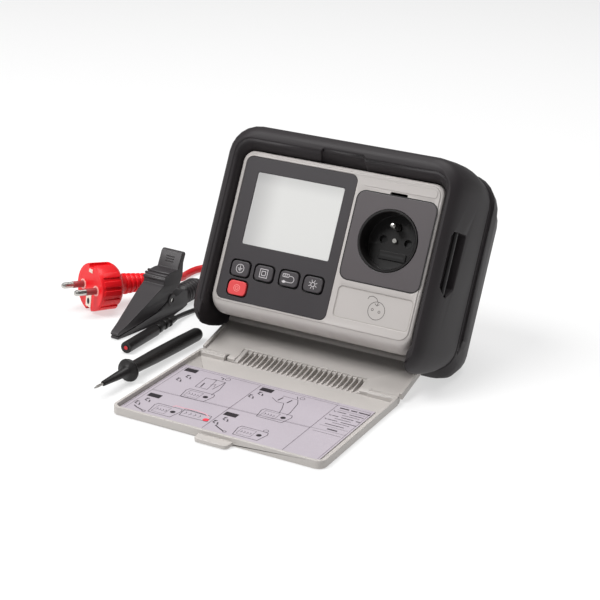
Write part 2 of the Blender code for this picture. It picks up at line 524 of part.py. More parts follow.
# ------------------------------------------------------------------ test lead
coil("lead_coil", BLACK_COIL, BLACK_R, 2, 3, "black")
lx = face_point(-40, -113.3, -22)
tube("lead_cord_near", [lx, lx + gd * 5, (-40, 73, 9.0), (-40, 82.6, 5.4)], BLACK_R, "black", 5)
tube("lead_cord_far", [(-83, 82.7, 2.4), (-83.5, 72, 2.2), (-89, 58, 2.2), (-101, 42, 2.2), (-115, 26, 2.2),
                       (-124, 11, 2.2), (-127.6, -4, 2.6), (-127.35, -22.7, 4.4)], BLACK_R, "black", 6)
turned("lead_connector", [(0, 0.4), (2.1, 0.4), (2.1, 0), (4.45, 0), (4.45, 40), (3.3, 41.5), (3.1, 60), (2.3, 69.4), (0, 69.4)],
       (-126.4, -92.4, 4.75), (-0.9 / 69.4, 1.0, -0.004), "black", steps=16)

# ------------------------------------------------------------------ crocodile clip
CLIP = empty("clip_frame", (-148.4, -75.0, 0.3), (0, 0, math.radians(-2.55)))
PIVOT_Y, PIVOT_Z = 62.0, 14.0


def taper_clip(bm_obj):
    """Narrow the clip towards its tip."""
    for v in bm_obj.data.vertices:
        y = v.co.y / MM + bm_obj.location.y / MM
        v.co.x *= 0.36 + 0.64 * min(1.0, max(0.0, y / 46.0))
    return bm_obj


lower = plate("clip_lower_jaw", [[(0.6, 0.0), (20, 0.0), (46, 0.0), (64, 0.0), (78, 1.6), (84, 3.0), (84, 14.6), (81, 16.4), (76, 17.2),
                                  (70, 15.6), (62, 15.2), (55, 13.0), (46, 10.0), (30, 7.0), (14, 4.0), (0.6, 2.2)]], -9.5, 9.5, "black", CLIP,
              facing="x", origin=(0, 0, 0))
taper_clip(lower)
combine(lower, rod("add_clip_lugs", (-9.3, PIVOT_Y, PIVOT_Z), (9.3, PIVOT_Y, PIVOT_Z), 5.0, parent=CLIP, segs=20,
                   cutter=True), "UNION")
combine(lower, rod("cut_clip_slot", (-6.6, PIVOT_Y, PIVOT_Z), (6.6, PIVOT_Y, PIVOT_Z), 5.7, parent=CLIP, segs=20,
                   cutter=True))
combine(lower, rod("cut_lower_bore", (-12, PIVOT_Y, PIVOT_Z), (12, PIVOT_Y, PIVOT_Z), 1.8, parent=CLIP, segs=12,
                   cutter=True))
upper = plate("clip_upper_jaw", [[(0.6, 2.7), (14, 4.6), (30, 7.6), (44, 10.6), (54, 14.0), (64, 20.0), (73, 24.0), (76.5, 30.0),
                                  (77.3, 40.0), (80.2, 46.4), (79.4, 48.2), (76.8, 48.8), (74.8, 47.4), (69.4, 36.2), (65.5, 36.8),
                                  (59.3, 36.6), (53.2, 35.0), (51.3, 32.6), (51.1, 29.0), (40, 23.8), (24, 15.8), (10, 8.9),
                                  (2, 5.8), (0, 4.4)]], -9.5, 9.5, "black", CLIP,
              facing="x", origin=(0, PIVOT_Y, PIVOT_Z))
taper_clip(upper)
combine(upper, rod("add_upper_eye", (-6.2, PIVOT_Y, PIVOT_Z), (6.2, PIVOT_Y, PIVOT_Z), 5.0, parent=CLIP, segs=20,
                   cutter=True), "UNION")
combine(upper, box("add_upper_neck", (-6.2, PIVOT_Y - 4, PIVOT_Z), (6.2, PIVOT_Y + 4, PIVOT_Z + 10), parent=CLIP,
                   cutter=True), "UNION")
for side, s in (("left", -1), ("right", 1)):
    combine(upper, rod("cut_upper_side_" + side, (s * 6.3, PIVOT_Y, PIVOT_Z), (s * 12, PIVOT_Y, PIVOT_Z), 5.7,
                       parent=CLIP, segs=20, cutter=True))
combine(upper, rod("cut_upper_bore", (-12, PIVOT_Y, PIVOT_Z), (12, PIVOT_Y, PIVOT_Z), 1.8, parent=CLIP, segs=12,
                   cutter=True))
rod("clip_pivot_pin", (-9.4, PIVOT_Y, PIVOT_Z), (9.4, PIVOT_Y, PIVOT_Z), 1.5, "steel", CLIP, segs=12)
turned("clip_boot", [(0, 84.3), (6.0, 84.3), (7.9, 88), (7.9, 108), (6.5, 112), (0, 112)],
       (0, 0, 8.2), (0, 1, 0), "black", CLIP, steps=20)

# ------------------------------------------------------------------ probe
REAR, GUARD = Vector((-96.1, -39.8, 5.1)), Vector((-97.8, -132.3, 8.6))
PD = (GUARD - REAR).normalized()
turned("probe_body", [(0, 0.0), (2.7, 0.35), (4.4, 1.7), (5.1, 4.2), (5.35, 30), (5.2, 60), (4.6, 84), (4.6, 90.6), (0, 90.6)],
       REAR, PD, "black", steps=20)
turned("probe_guard", [(0, 90.9), (4.6, 90.9), (8.0, 92.0), (8.5, 93.4), (8.0, 94.6), (4.6, 95.6), (3.6, 97.0), (3.2, 104),
                       (1.9, 124), (0, 124)], REAR, PD, "black", steps=20)
turned("probe_tip", [(0, 124.3), (1.0, 124.3), (1.0, 131), (0.4, 134), (0, 134.2)], REAR, PD, "steel", steps=12)
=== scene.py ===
"""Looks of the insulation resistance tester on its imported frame."""
import bpy
import bmesh
import json
import math
from mathutils import Matrix, Vector

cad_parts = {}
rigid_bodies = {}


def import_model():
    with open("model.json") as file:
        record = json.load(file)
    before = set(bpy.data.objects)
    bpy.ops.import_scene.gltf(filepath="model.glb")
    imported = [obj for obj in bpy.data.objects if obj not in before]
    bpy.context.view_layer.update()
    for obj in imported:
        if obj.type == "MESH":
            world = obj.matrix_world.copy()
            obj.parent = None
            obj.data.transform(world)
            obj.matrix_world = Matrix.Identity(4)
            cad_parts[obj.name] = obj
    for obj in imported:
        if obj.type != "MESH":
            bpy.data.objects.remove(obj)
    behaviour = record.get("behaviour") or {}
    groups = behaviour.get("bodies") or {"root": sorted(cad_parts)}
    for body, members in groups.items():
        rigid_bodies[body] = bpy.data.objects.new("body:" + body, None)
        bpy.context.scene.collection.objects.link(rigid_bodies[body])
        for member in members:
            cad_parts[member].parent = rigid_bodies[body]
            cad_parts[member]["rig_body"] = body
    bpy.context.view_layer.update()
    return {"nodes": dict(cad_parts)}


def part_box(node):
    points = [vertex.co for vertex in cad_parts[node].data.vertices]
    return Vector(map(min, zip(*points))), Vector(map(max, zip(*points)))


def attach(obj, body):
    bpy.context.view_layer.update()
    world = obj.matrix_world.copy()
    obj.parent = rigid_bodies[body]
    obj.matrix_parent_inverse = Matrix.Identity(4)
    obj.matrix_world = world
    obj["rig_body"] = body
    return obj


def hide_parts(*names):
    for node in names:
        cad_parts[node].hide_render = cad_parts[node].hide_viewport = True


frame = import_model()
NODES = frame["nodes"]
MM = 0.001
TILT = math.radians(24.71)
FACE_Y, FACE_Z = -32.66, 87.97
FACE = Matrix.Translation((0, FACE_Y * MM, FACE_Z * MM)) @ Matrix.Rotation(-TILT, 4, "X")
RED_R, BLACK_R = 3.0, 1.9


def fpt(x, n, v):
    """World point in mm of (across, out of the face, up the face)."""
    c, s = math.cos(TILT), math.sin(TILT)
    return Vector((x, FACE_Y + v * s - n * c, FACE_Z + v * c + n * s))


def srgb(r, g, b):
    return tuple(((c / 255) / 12.92 if c <= 10 else ((c / 255 + 0.055) / 1.055) ** 2.4) for c in (r, g, b))


# ------------------------------------------------------------------ camera
cam_data = bpy.data.cameras.new("camera")
cam = bpy.data.objects.new("camera", cam_data)
bpy.context.scene.collection.objects.link(cam)
YAW, PITCH, ROLL = 0.46345856, 0.36696043, 0.04414788
h = Vector((-math.sin(YAW), math.cos(YAW), 0))
r0 = Vector((math.cos(YAW), math.sin(YAW), 0))
z0 = Vector((0, 0, 1))
fwd = math.cos(PITCH) * h - math.sin(PITCH) * z0
up0 = math.sin(PITCH) * h + math.cos(PITCH) * z0
right = math.cos(ROLL) * r0 + math.sin(ROLL) * up0
up = -math.sin(ROLL) * r0 + math.cos(ROLL) * up0
rot = Matrix((right, up, -fwd)).transposed().to_4x4()
cam.matrix_world = Matrix.Translation((0.469352, -1.005369, 0.464061)) @ rot
cam_data.sensor_width = 36.0
cam_data.lens = 97.114
cam_data.clip_start = 0.05
cam_data.clip_end = 50
bpy.context.scene.camera = cam


view = bpy.context.scene.view_settings
view.view_transform = "Standard"
view.look = "None"


# ------------------------------------------------------------------ materials
def nodes_of(name):
    m = bpy.data.materials.new(name)
    m.use_nodes = True
    nt = m.node_tree
    return m, nt, nt.nodes["Principled BSDF"]


def moulded(name, rgb, rough=0.4, grain=1500, bump=0.1, var=0.06, metal=0.0, coat=0.0, spec=0.5, grain_m=0.00006,
            wear=0.0):
    """Moulded plastic or rubber: fine texture in the bump, slow variation in colour and gloss."""
    m, nt, b = nodes_of(name)
    co = nt.nodes.new("ShaderNodeTexCoord")
    fine = nt.nodes.new("ShaderNodeTexNoise")
    fine.inputs["Scale"].default_value = grain
    fine.inputs["Detail"].default_value = 3
    slow = nt.nodes.new("ShaderNodeTexNoise")
    slow.inputs["Scale"].default_value = 22
    slow.inputs["Detail"].default_value = 4
    for t in (fine, slow):
        nt.links.new(co.outputs["Object"], t.inputs["Vector"])
    ramp = nt.nodes.new("ShaderNodeMapRange")
    ramp.inputs["From Min"].default_value = 0.3
    ramp.inputs["From Max"].default_value = 0.7
    ramp.inputs["To Min"].default_value = 1 - var
    ramp.inputs["To Max"].default_value = 1 + var
    nt.links.new(slow.outputs["Fac"], ramp.inputs["Value"])
    mul = nt.nodes.new("ShaderNodeMix")
    mul.data_type = "RGBA"
    mul.blend_type = "MULTIPLY"
    mul.inputs["Factor"].default_value = 1.0
    mul.inputs["A"].default_value = (*rgb, 1)
    nt.links.new(ramp.outputs["Result"], mul.inputs["B"])
    colour = mul.outputs["Result"]
    if wear:
        geo = nt.nodes.new("ShaderNodeNewGeometry")
        wr = nt.nodes.new("ShaderNodeMapRange")
        wr.inputs["From Min"].default_value = 0.52
        wr.inputs["From Max"].default_value = 0.62
        wr.inputs["To Min"].default_value = 0.0
        wr.inputs["To Max"].default_value = wear
        nt.links.new(geo.outputs["Pointiness"], wr.inputs["Value"])
        mx = nt.nodes.new("ShaderNodeMix")
        mx.data_type = "RGBA"
        nt.links.new(wr.outputs["Result"], mx.inputs["Factor"])
        nt.links.new(colour, mx.inputs["A"])
        mx.inputs["B"].default_value = (*[min(1, c * 2.2 + 0.02) for c in rgb], 1)
        colour = mx.outputs["Result"]
    nt.links.new(colour, b.inputs["Base Color"])
    rr = nt.nodes.new("ShaderNodeMapRange")
    rr.inputs["To Min"].default_value = max(0.02, rough - 0.05)
    rr.inputs["To Max"].default_value = rough + 0.05
    nt.links.new(slow.outputs["Fac"], rr.inputs["Value"])
    nt.links.new(rr.outputs["Result"], b.inputs["Roughness"])
    b.inputs["Metallic"].default_value = metal
    b.inputs["Specular IOR Level"].default_value = spec
    b.inputs["Coat Weight"].default_value = coat
    bp = nt.nodes.new("ShaderNodeBump")
    bp.inputs["Strength"].default_value = bump
    bp.inputs["Distance"].default_value = grain_m
    nt.links.new(fine.outputs["Fac"], bp.inputs["Height"])
    nt.links.new(bp.outputs["Normal"], b.inputs["Normal"])
    return m


M = {
    "boot": moulded("boot_rubber", srgb(38, 34, 36), 0.52, 1300, 0.5, 0.07, spec=0.3, grain_m=0.00012),
    "case": moulded("case_plastic", srgb(44, 41, 42), 0.5, 1500, 0.3, 0.05),
    "bezel": moulded("bezel_plastic", srgb(182, 177, 174), 0.38, 2200, 0.12, 0.015),
    "lid": moulded("lid_plastic", srgb(184, 179, 175), 0.42, 2200, 0.15, 0.02),
    "panel": moulded("panel_membrane", srgb(47, 43, 46), 0.42, 3000, 0.12, 0.03),
    "key": moulded("key_silicone", srgb(56, 52, 55), 0.5, 2600, 0.15, 0.03),
    "keyred": moulded("key_red", srgb(214, 66, 68), 0.42, 2600, 0.12, 0.03),
    "socket": moulded("socket_plastic", srgb(80, 75, 77), 0.36, 2400, 0.12, 0.03),
    # near-black cup colour: partly the cup's own dark plastic, partly painted shade of the deep recess
    "cup": moulded("socket_cup_plastic_painted_shade", srgb(18, 16, 16), 0.36, 2400, 0.12, 0.03, spec=0.35),
    "black": moulded("black_plastic", srgb(40, 38, 39), 0.42, 1800, 0.2, 0.05),
    "gap": moulded("shadow_black", srgb(14, 13, 14), 0.6, 1500, 0.1, 0.03),
    "clip": moulded("clip_plastic", srgb(48, 44, 46), 0.45, 1600, 0.25, 0.05),
    "probe": moulded("probe_plastic", srgb(26, 24, 24), 0.42, 1100, 0.5, 0.06, spec=0.35, grain_m=0.00014),
    "lead": moulded("lead_pvc", srgb(28, 26, 27), 0.34, 900, 0.12, 0.05),
    "red": moulded("red_pvc", srgb(196, 12, 22), 0.45, 900, 0.1, 0.04, coat=0.0, spec=0.4),
    "plug": moulded("plug_red", srgb(232, 20, 30), 0.36, 1200, 0.1, 0.03, coat=0.0, spec=0.4),
    "steel": moulded("nickel", srgb(198, 196, 192), 0.25, 900, 0.08, 0.04, metal=1.0),
    "brass": moulded("brass", srgb(205, 170, 105), 0.3, 900, 0.08, 0.05, metal=1.0),
    "board": moulded("board_green", srgb(30, 92, 52), 0.45, 700, 0.2, 0.1),
    "cell": moulded("cell_sleeve", srgb(214, 128, 50), 0.35, 500, 0.05, 0.05),
    "cream": moulded("earth_clip", srgb(226, 214, 200), 0.35, 900, 0.1, 0.04, metal=0.2),
    "print_dark": moulded("print_dark", srgb(48, 42, 48), 0.5, 1500, 0.0, 0.02),
    "print_grey": moulded("print_grey", srgb(96, 88, 96), 0.5, 1500, 0.0, 0.02),
    "print_red": moulded("print_red", srgb(222, 60, 76), 0.5, 1500, 0.0, 0.02),
    "print_pink": moulded("print_pink", srgb(226, 160, 172), 0.5, 1500, 0.0, 0.02),
    "print_key": moulded("print_key", srgb(196, 192, 194), 0.5, 1500, 0.0, 0.02),
    "print_keyred": moulded("print_keyred", srgb(240, 150, 146), 0.5, 1500, 0.0, 0.02),
    # darker grey for lines along moulded steps and frames: painted shade of those edges
    "emboss": moulded("emboss_line_painted_shade", srgb(168, 163, 158), 0.5, 2000, 0.0, 0.02),
    "label": moulded("label_film", srgb(178, 170, 178), 0.4, 300, 0.06, 0.02),
    "print_block": moulded("print_block", srgb(34, 28, 34), 0.5, 1500, 0.0, 0.02),
    "emboss_dark": moulded("emboss_dark", srgb(92, 88, 86), 0.5, 2000, 0.0, 0.02),
    "ring": moulded("pin_ring", srgb(250, 176, 168), 0.35, 900, 0.05, 0.02),
    "sleeve": moulded("pin_sleeve", srgb(150, 60, 62), 0.35, 900, 0.05, 0.02),
    "redcore": moulded("core_red", srgb(200, 24, 34), 0.4, 900, 0.05, 0.03),
    "steel_dark": moulded("dark_steel", srgb(70, 68, 68), 0.35, 900, 0.08, 0.04, metal=0.8),
}


def display_material():
    """Pale display under a clear window: grey reflector, darkened towards its left and top edges by a painted shadow of
    the window frame.
    """
    m, nt, b = nodes_of("display_glass_painted_shadow")
    co = nt.nodes.new("ShaderNodeTexCoord")
    sep = nt.nodes.new("ShaderNodeSeparateXYZ")
    nt.links.new(co.outputs["Object"], sep.inputs["Vector"])
    lo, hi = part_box("display_window")

    def edge(socket, a, c, low):
        r = nt.nodes.new("ShaderNodeMapRange")
        r.interpolation_type = "SMOOTHSTEP"
        r.inputs["From Min"].default_value = a
        r.inputs["From Max"].default_value = c
        r.inputs["To Min"].default_value = low
        r.inputs["To Max"].default_value = 1.0
        nt.links.new(socket, r.inputs["Value"])
        return r.outputs["Result"]

    # painted shadow: the colour darkens towards the left and top edges of the window
    left = edge(sep.outputs["X"], lo.x, lo.x + 0.024, 0.62)
    top = edge(sep.outputs["Z"], hi.z, hi.z - 0.010, 0.80)
    painted_shadow_mask = nt.nodes.new("ShaderNodeMath")
    painted_shadow_mask.operation = "MULTIPLY"
    nt.links.new(left, painted_shadow_mask.inputs[0])
    nt.links.new(top, painted_shadow_mask.inputs[1])
    mx = nt.nodes.new("ShaderNodeMix")
    mx.data_type = "RGBA"
    nt.links.new(painted_shadow_mask.outputs[0], mx.inputs["Factor"])
    # A is the painted shadow colour at the edges, B is the display's own pale grey
    mx.inputs["A"].default_value = (*srgb(110, 108, 112), 1)
    mx.inputs["B"].default_value = (*srgb(212, 212, 210), 1)
    nt.links.new(mx.outputs["Result"], b.inputs["Base Color"])
    b.inputs["Roughness"].default_value = 0.22
    b.inputs["Coat Weight"].default_value = 0.4
    b.inputs["Coat Roughness"].default_value = 0.05
    return m


M["display"] = display_material()


# ------------------------------------------------------------------ helpers
def link(ob, body, mat=None):
    if ob.name not in bpy.context.scene.collection.objects:
        bpy.context.scene.collection.objects.link(ob)
    if mat:
        ob.data.materials.clear()
        ob.data.materials.append(M[mat])
    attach(ob, body)
    return ob


def fine(node, mat, width=0.5, segs=3, angle=30, smooth=35, body=None, split=False):
    """A copy of a CAD node with its edges rounded, standing for that node.
    split keeps a seam down the middle, so that no face has to run round a hole."""
    src = NODES[node]
    bm = bmesh.new()
    bm.from_mesh(src.data)
    bmesh.ops.remove_doubles(bm, verts=bm.verts, dist=0.000008)
    if split:
        cut = bmesh.ops.bisect_plane(bm, geom=bm.verts[:] + bm.edges[:] + bm.faces[:], dist=0.0000005,
                                     plane_co=(0.00137, 0, 0), plane_no=(1, 0, 0))
        for e in cut["geom_cut"]:
            if isinstance(e, bmesh.types.BMEdge):
                e.seam = True
    bmesh.ops.dissolve_limit(bm, angle_limit=math.radians(0.6), verts=bm.verts, edges=bm.edges,
                             delimit={"NORMAL", "SEAM"})
    me = bpy.data.meshes.new(node + "_fine")
    bm.to_mesh(me)
    bm.free()
    me.shade_smooth()
    me.set_sharp_from_angle(angle=math.radians(smooth))
    ob = bpy.data.objects.new(node + "_fine", me)
    if width:
        md = ob.modifiers.new("round", "BEVEL")
        md.width = width * MM
        md.segments = segs
        md.limit_method = "ANGLE"
        md.angle_limit = math.radians(angle)
        md.use_clamp_overlap = False
        md.miter_outer = "MITER_ARC"
        md.harden_normals = True
    who = body or src["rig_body"]
    link(ob, who, mat)
    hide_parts(node)
    return ob


def mesh_from(name, verts, faces, mat, body, smooth=False, mw=None):
    me = bpy.data.meshes.new(name)
    me.from_pydata([Vector(v) * MM for v in verts], [], faces)
    me.update()
    if smooth:
        me.shade_smooth()
    ob = bpy.data.objects.new(name, me)
    if mw is not None:
        me.transform(mw)
    return link(ob, body, mat)


def strokes(name, lines, width, mat, body, plane, lift=0.05, closed=False):
    """Flat lines on a plane, for print and for painted shade lines; lines are lists of 2D points in mm.
    plane maps (a, b, lift) to the row frame in metres."""
    verts, faces = [], []
    for item in lines:
        pts, w = (item if isinstance(item[0], (list, tuple)) and isinstance(item[1], (int, float)) else (item, width))
        n = len(pts)
        loop = n > 2 and abs(pts[0][0] - pts[-1][0]) < 1e-6 and abs(pts[0][1] - pts[-1][1]) < 1e-6
        core = pts[:-1] if loop else pts
        k = len(core)
        base = len(verts)
        for i in range(k):
            p = Vector(core[i])
            a = Vector(core[i - 1]) if (i > 0 or loop) else None
            b = Vector(core[(i + 1) % k]) if (i < k - 1 or loop) else None
            d1 = (p - a).normalized() if a is not None else None
            d2 = (b - p).normalized() if b is not None else None
            if d1 is None:
                d1 = d2
            if d2 is None:
                d2 = d1
            nrm = Vector((-(d1 + d2).y, (d1 + d2).x))
            if nrm.length < 1e-6:
                nrm = Vector((-d1.y, d1.x))
            nrm.normalize()
            s = w / 2 / max(0.45, nrm.dot(Vector((-d1.y, d1.x))))
            for q in (p + nrm * s, p - nrm * s):
                verts.append((q.x, q.y, lift))
        for i in range(k if loop else k - 1):
            j = (i + 1) % k
            faces.append((base + 2 * i, base + 2 * i + 1, base + 2 * j + 1, base + 2 * j))
    return mesh_from(name, verts, faces, mat, body, mw=plane)


def patches(name, polys, mat, body, plane, lift=0.05):
    """Filled flat shapes, for print and for painted shade; each a convex list of 2D points in mm."""
    verts, faces = [], []
    for poly in polys:
        base = len(verts)
        verts += [(x, y, lift) for x, y in poly]
        faces.append(tuple(range(base, base + len(poly))))
    return mesh_from(name, verts, faces, mat, body, mw=plane)


def circle(cx, cy, r, k=28, a0=0, a1=360):
    return [(cx + r * math.cos(math.radians(a0 + (a1 - a0) * i / k)), cy + r * math.sin(math.radians(a0 + (a1 - a0) * i / k)))
            for i in range(k + 1)]


def rect(x0, y0, x1, y1, r=0.0, k=4):
    if r <= 0:
        return [(x0, y0), (x1, y0), (x1, y1), (x0, y1), (x0, y0)]
    pts = []
    for cx, cy, a in ((x1 - r, y0 + r, -90), (x1 - r, y1 - r, 0), (x0 + r, y1 - r, 90), (x0 + r, y0 + r, 180)):
        pts += [(cx + r * math.cos(math.radians(a + 90 * i / k)), cy + r * math.sin(math.radians(a + 90 * i / k)))
                for i in range(k + 1)]
    return pts + [pts[0]]


def slab_mesh(name, outline, low, high, mat, body, plane, bevel=0.3, segs=3):
    """Solid with a flat outline (2D, mm, counter-clockwise) between two heights on a plane."""
    if abs(outline[0][0] - outline[-1][0]) < 1e-6 and abs(outline[0][1] - outline[-1][1]) < 1e-6:
        outline = outline[:-1]
    k = len(outline)
    verts = [(x, y, low) for x, y in outline] + [(x, y, high) for x, y in outline]
    faces = [tuple(reversed(range(k))), tuple(range(k, 2 * k))]
    faces += [(i, (i + 1) % k, k + (i + 1) % k, k + i) for i in range(k)]
    ob = mesh_from(name, verts, faces, mat, body, mw=plane)
    ob.data.shade_smooth()
    ob.data.set_sharp_from_angle(angle=math.radians(40))
    if bevel:
        md = ob.modifiers.new("round", "BEVEL")
        md.width = bevel * MM
        md.segments = segs
        md.limit_method = "ANGLE"
        md.angle_limit = math.radians(40)
        md.use_clamp_overlap = False
    return ob


# plane on the face: (x, v, n) -> row frame
ON_FACE = FACE @ Matrix(((1, 0, 0, 0), (0, 0, -1, 0), (0, 1, 0, 0), (0, 0, 0, 1)))
ON_LID = Matrix.Translation((0, 0, 0.0029))


def on_face(n):
    return ON_FACE @ Matrix.Translation((0, 0, n * MM))


# ------------------------------------------------------------------ cords
def smooth_route(points, step):
    p = [Vector(q) for q in points]
    p = [2 * p[0] - p[1]] + p + [2 * p[-1] - p[-2]]
    out_fine = []
    for a, b, c, d in zip(p, p[1:], p[2:], p[3:]):
        t1 = max((b - a).length, 1e-6) ** 0.5
        t2 = max((c - b).length, 1e-6) ** 0.5
        t3 = max((d - c).length, 1e-6) ** 0.5
        m1 = ((b - a) / t1 - (c - a) / (t1 + t2) + (c - b) / t2) * t2
        m2 = ((c - b) / t2 - (d - b) / (t2 + t3) + (d - c) / t3) * t2
        for i in range(24):
            t = i / 24
            out_fine.append((2 * t ** 3 - 3 * t ** 2 + 1) * b + (t ** 3 - 2 * t ** 2 + t) * m1
                            + (-2 * t ** 3 + 3 * t ** 2) * c + (t ** 3 - t ** 2) * m2)
    out_fine.append(p[-2])
    run = [0.0]
    for a, b in zip(out_fine, out_fine[1:]):
        run.append(run[-1] + (b - a).length)
    count = max(3, int(round(run[-1] / step)))
    out, j = [], 0
    for i in range(count + 1):
        want = run[-1] * i / count
        while j < len(run) - 2 and run[j + 1] < want:
            j += 1
        f = (want - run[j]) / max(run[j + 1] - run[j], 1e-9)
        out.append(out_fine[j].lerp(out_fine[j + 1], min(1.0, f)))
    return out


def ease(t):
    t = min(1.0, max(0.0, t))
    return t * t * (3 - 2 * t)


def coil_points(cx, cy, rm, r, layers, a0, total, k=40):
    """Spiral turns; layers is the (column, row) of each turn, column -0.5 or 0.5."""
    pts = []
    steps = int(total / 360 * k)
    for i in range(steps + 1):
        a = total * i / steps
        turn = min(len(layers) - 1, int(a // 360))
        col, row = layers[turn]
        rad, z = rm + col * 2 * r, 0.35 + r + row * 2 * r
        if turn < len(layers) - 1:
            c2, w2 = layers[turn + 1]
            f = ease((a - 360 * (turn + 1) + 70) / 70)
            rad += (c2 - col) * 2 * r * f
            z += (w2 - row) * 2 * r * f
        if a < 60:
            rad = rm + (rad - rm) * ease(a / 60)
        if total - a < 60:
            rad = rm + (rad - rm) * ease((total - a) / 60)
        t = math.radians(a0 + a)
        pts.append(Vector((cx + rad * math.cos(t), cy + rad * math.sin(t), z)))
    return pts


def cord_curve(name, pts, r, mat, body):
    cu = bpy.data.curves.new(name, "CURVE")
    cu.dimensions = "3D"
    cu.bevel_depth = r * MM
    cu.bevel_resolution = 4
    cu.use_fill_caps = True
    sp = cu.splines.new("POLY")
    sp.points.add(len(pts) - 1)
    for q, w in zip(sp.points, pts):
        q.co = (*(w * MM), 1.0)
    sp.use_smooth = True
    ob = bpy.data.objects.new(name, cu)
    return link(ob, body, mat)


PLUG_FACE = Vector((-195.25, -37.75, 19.95))
PLUG_AXIS = Vector((-0.4207, -0.9021, 0.0958)).normalized()
PLUG_SIDE = PLUG_AXIS.cross(Vector((0, 0, 1))).normalized()
PLUG_UP = PLUG_SIDE.cross(PLUG_AXIS).normalized()

gx = fpt(40, -108.3, -22)
gd = fpt(40, -109.3, -22) - gx
red_coil = coil_points(8, 115, 32, RED_R, [(0.5, 1), (-0.5, 1), (-0.5, 0), (0.5, 0)], 0, 4 * 360 + 90)
near = smooth_route([gx, gx + gd * 9, (40, 76, 12.0), (40, 92, 9.4), (40, 104, 9.3), red_coil[0]], 4)
far = smooth_route([red_coil[-1], (-18.6, 147, 3.5), (-45, 148, 3.3), (-80, 143, 3.3), (-112, 131, 3.3),
                    (-140, 114, 3.3), (-161, 96, 3.3), (-170.5, 82, 3.3), (-171.5, 66, 3.4),
                    (-167.1, 52, 6.2), PLUG_FACE - PLUG_AXIS * 68, PLUG_FACE - PLUG_AXIS * 58.5], 5)
red_pts = near[:-1] + red_coil + far[1:]
mains_cord = cord_curve("mains_cord", red_pts, RED_R, "red", "case")
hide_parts("mains_cord_near", "mains_coil", "mains_cord_far")

lx = fpt(-40, -113.3, -22)
black_coil = coil_points(-61.5, 100, 21.5, BLACK_R, [(0.5, 2), (-0.5, 2), (-0.5, 1), (0.5, 1), (0.5, 0), (-0.5, 0)], 0,
                         6 * 360 + 180)
near = smooth_route([lx, lx + gd * 5, (-40, 74, 11.6), (-40, 84, 10.2), (-40, 92, 9.9), black_coil[0]], 3)
far = smooth_route([black_coil[-1], (-83, 91, 2.3), (-83, 82.7, 2.3), (-83.5, 72, 2.2), (-89, 58, 2.2), (-101, 42, 2.2),
                    (-115, 26, 2.2), (-124, 11, 2.2), (-127.6, -4, 2.6), (-127.35, -22.7, 4.4)], 4)
black_pts = near[:-1] + black_coil + far[1:]
test_cord = cord_curve("test_cord", black_pts, BLACK_R, "lead", "case")
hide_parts("lead_cord_near", "lead_coil", "lead_cord_far")

# ------------------------------------------------------------------ instrument
fine("boot_front", "boot", 0.9, 3, 38, split=True)
fine("boot_rear", "boot", 0.9, 3, 38, split=True)
fine("rear_case", "case", 0.6, 2, 50)
fine("battery_cover", "case", 0.5, 2, 50)
fine("front_bezel", "bezel", 0.2, 2, 40, split=True)
fine("keypad_panel", "panel", 0.2, 2, 50, split=True)
fine("socket_plate", "socket", 0.35, 3, 50)
# painted shadow: a near-black stroke round the socket plate for the shade in the gap
strokes("socket_gap_painted_shadow", [rect(15.9, -17.3, 77.1, 46.8, 6.4)], 0.75, "gap", "case", on_face(0.0), lift=0.03)
fine("socket_cup", "cup", 0.25, 2, 50)
for k in ("key_earth", "key_insulation", "key_lead", "key_lamp"):
    fine(k, "key", 0.7, 4, 50)
fine("key_power", "keyred", 0.7, 4, 50)
fine("stand_link", "lid", 0.3, 2, 45, split=True)
fine("lid", "lid", 0.5, 3, 45, split=True)
for n, m in (("key_guide", "gap"), ("display_module", "black"), ("keypad_board", "board"), ("main_board", "board"),
             ("transformer", "steel_dark"), ("test_relay", "black"), ("battery_tray", "black"), ("live_contact", "gap"),
             ("neutral_contact", "gap"), ("earth_pin", "steel"), ("socket_screw", "steel"), ("stand_pin", "steel"),
             ("lid_pin_left", "steel"), ("lid_pin_right", "steel"), ("strap_bar_left", "black"),
             ("strap_bar_right", "black"), ("battery_cover_screw", "steel"), ("lid_label", "label"),
             ("display_window", "display"), ("mains_gland", "red"), ("lead_socket", "black"), ("lead_plug", "lead"),
             ("plug_pin_left", "steel"), ("plug_pin_right", "steel"), ("clip_pivot_pin", "steel"),
             ("probe_tip", "steel")):
    o = NODES[n]
    o.data.materials.clear()
    o.data.materials.append(M[m])
for i in range(1, 7):
    o = NODES["battery_cell_%d" % i]
    o.data.materials.clear()
    o.data.materials.append(M["cell"])
fine("plug_body", "plug", 0.5, 3, 40)
fine("clip_lower_jaw", "clip", 0.6, 3, 40)
fine("clip_upper_jaw", "clip", 0.6, 3, 40)
fine("clip_boot", "clip", 0.4, 2, 40)
fine("probe_body", "probe", 0.3, 2, 50)
fine("probe_guard", "probe", 0.3, 2, 50)
fine("lead_connector", "probe", 0.3, 2, 50)

# ------------------------------------------------------------------ printed marks on the face
def shift(pts, dx, dy, s=1.0):
    return [(dx + x * s, dy + y * s) for x, y in pts]


